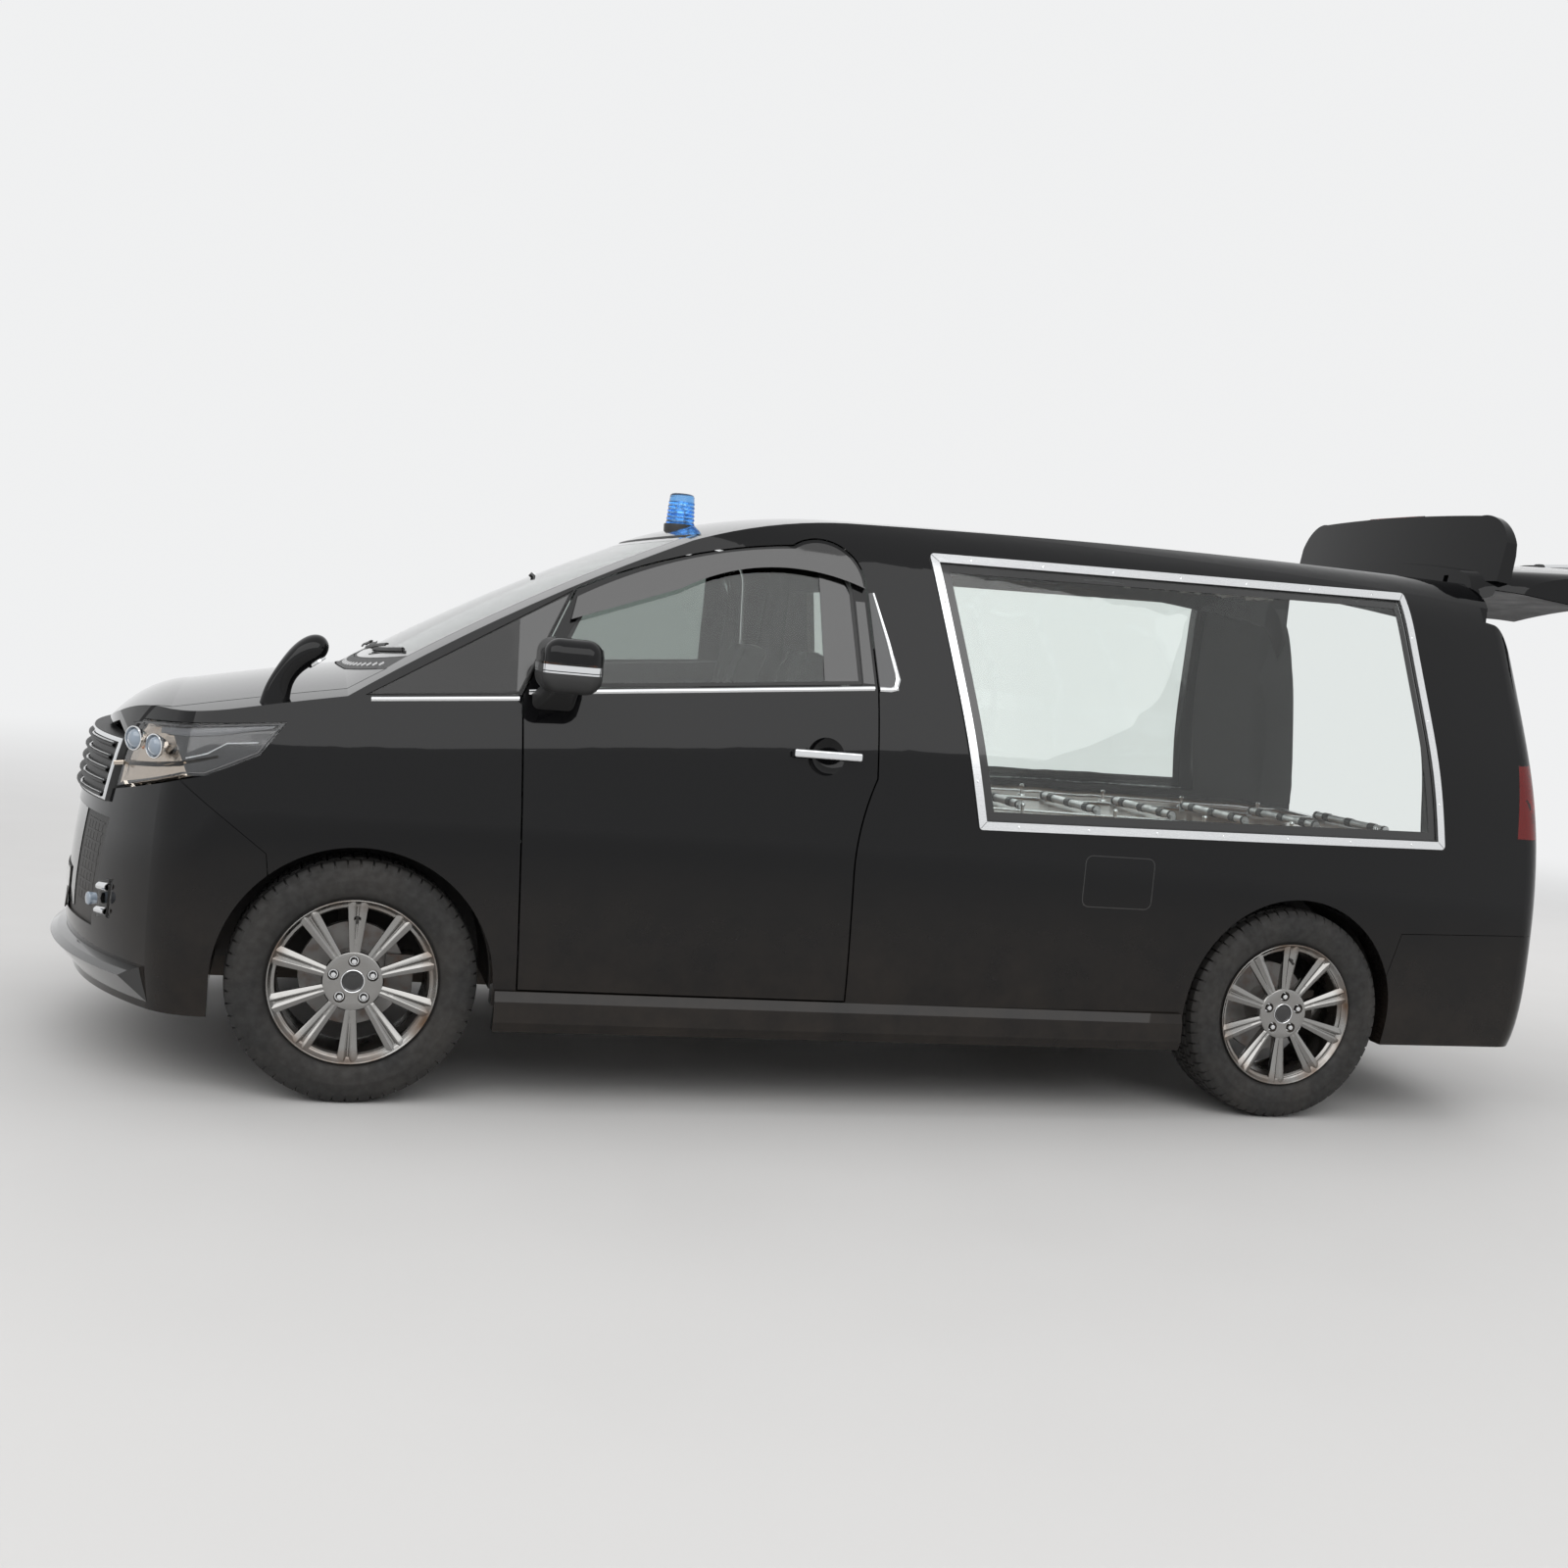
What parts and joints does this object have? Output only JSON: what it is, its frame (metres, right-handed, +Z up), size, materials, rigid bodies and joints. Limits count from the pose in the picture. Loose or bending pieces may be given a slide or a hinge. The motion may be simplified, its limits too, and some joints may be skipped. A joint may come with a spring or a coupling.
{
  "type": "hearse",
  "caption": "Black hearse on a large minivan body with long framed side windows, a raised tailgate, an inner deck with rollers, two front doors and road wheels",
  "frame": {"origin": "centre of the whole vehicle's length with the tailgate raised, on its middle plane, at the ground", "axes": "+X forward, +Y to the vehicle's left, +Z up"},
  "size_m": [5.8693, 2.295, 2.1091],
  "materials": {
    "paint": "gloss black paint",
    "chrome": "bright chrome",
    "polished": "polished aluminium",
    "glass": "clear safety glass",
    "smoked": "smoked transparent plastic",
    "lamp": "clear lamp lens",
    "tail_lamp": "red lamp lens",
    "beacon": "blue translucent dome",
    "black_plastic": "matte black plastic",
    "gloss_black": "gloss black plastic",
    "chassis": "satin black underbody paint",
    "iron": "machined and cast metal",
    "exhaust": "dull steel",
    "rim": "silver painted alloy",
    "tyre": "black rubber",
    "interior": "dark grained plastic",
    "fabric": "dark grey seat cloth",
    "deck": "varnished wood deck",
    "roller": "brushed steel"
  },
  "bodies": {
    "root": {"roof_panel": "paint", "tail_lamps": "tail_lamp", "side_panel_left": "paint", "side_panel_right": "paint", "fender_left": "paint", "fender_right": "paint", "cowl_panel": "black_plastic", "windscreen": "glass", "quarter_glasses": "glass", "long_windows": "glass", "window_frames": "polished", "front_bumper": "paint", "lower_grille": "gloss_black", "grille": "chrome", "headlamps": "lamp", "rear_bumper": "paint", "floor_pan": "chassis", "wheel_housings": "black_plastic", "casket_deck": "deck", "deck_rollers": "roller", "partition": "interior", "dashboard": "interior", "seat_left": "fabric", "seat_right": "fabric", "front_subframe": "chassis", "engine_block": "iron", "rear_axle": "chassis", "fuel_tank": "black_plastic", "exhaust": "exhaust", "side_skirts": "paint", "fog_lamps": "lamp", "beacon": "beacon", "fender_mirror": "paint", "front_lip": "gloss_black"},
    "door_left": {"door_left": "paint", "door_glass_left": "glass", "wind_deflector_left": "smoked", "mirror_left": "paint", "door_handle_left": "chrome"},
    "door_right": {"door_right": "paint", "door_glass_right": "glass", "wind_deflector_right": "smoked", "mirror_right": "paint", "door_handle_right": "chrome"},
    "hood": {"hood": "paint"},
    "tailgate": {"tailgate": "paint", "tailgate_glass": "glass"},
    "steering_wheel": {"steering_wheel": "interior"},
    "knuckle_left": {"knuckle_left": "iron"},
    "knuckle_right": {"knuckle_right": "iron"},
    "wheel_front_left": {"rim_front_left": "rim", "tyre_front_left": "tyre"},
    "wheel_front_right": {"rim_front_right": "rim", "tyre_front_right": "tyre"},
    "wheel_rear_left": {"rim_rear_left": "rim", "tyre_rear_left": "tyre"},
    "wheel_rear_right": {"rim_rear_right": "rim", "tyre_rear_right": "tyre"}
  },
  "joints": [
    {"name": "door_left_hinge", "type": "hinge", "parent": "root", "child": "door_left", "pos_m": [1.62776, 0.912, 0.9], "axis": [0, 0, -1], "range_deg": [0, 62]},
    {"name": "door_right_hinge", "type": "hinge", "parent": "root", "child": "door_right", "pos_m": [1.62776, -0.912, 0.9], "axis": [0, 0, 1], "range_deg": [0, 62]},
    {"name": "hood_hinge", "type": "hinge", "parent": "root", "child": "hood", "pos_m": [2.00776, 0, 1.238], "axis": [0, -1, 0], "range_deg": [0, 48]},
    {"name": "tailgate_hinge", "type": "hinge", "parent": "root", "child": "tailgate", "pos_m": [-1.72924, 0, 1.838], "axis": [0, 1, 0], "range_deg": [-84, 0]},
    {"name": "steer_left", "type": "hinge", "parent": "root", "child": "knuckle_left", "pos_m": [2.04276, 0.715, 0.351], "axis": [0, 0, 1], "range_deg": [-35, 35]},
    {"name": "steer_right", "type": "hinge", "parent": "root", "child": "knuckle_right", "pos_m": [2.04276, -0.715, 0.351], "axis": [0, 0, 1], "range_deg": [-35, 35]},
    {"name": "steering_column", "type": "hinge", "parent": "root", "child": "steering_wheel", "pos_m": [1.46776, -0.39, 1.045], "axis": [-0.9135, 0, 0.4067], "range_deg": [-525, 525]},
    {"name": "wheel_front_left_spin", "type": "hinge", "parent": "knuckle_left", "child": "wheel_front_left", "pos_m": [2.04276, 0.79, 0.351], "axis": [0, 1, 0], "continuous": true},
    {"name": "wheel_front_right_spin", "type": "hinge", "parent": "knuckle_right", "child": "wheel_front_right", "pos_m": [2.04276, -0.79, 0.351], "axis": [0, 1, 0], "continuous": true},
    {"name": "wheel_rear_left_spin", "type": "hinge", "parent": "root", "child": "wheel_rear_left", "pos_m": [-0.95724, 0.79, 0.351], "axis": [0, 1, 0], "continuous": true},
    {"name": "wheel_rear_right_spin", "type": "hinge", "parent": "root", "child": "wheel_rear_right", "pos_m": [-0.95724, -0.79, 0.351], "axis": [0, 1, 0], "continuous": true}
  ],
  "couplings": [
    {"joint": "steer_right", "follows": "steer_left", "ratio": 1},
    {"joint": "steering_column", "follows": "steer_left", "ratio": 15}
  ]
}
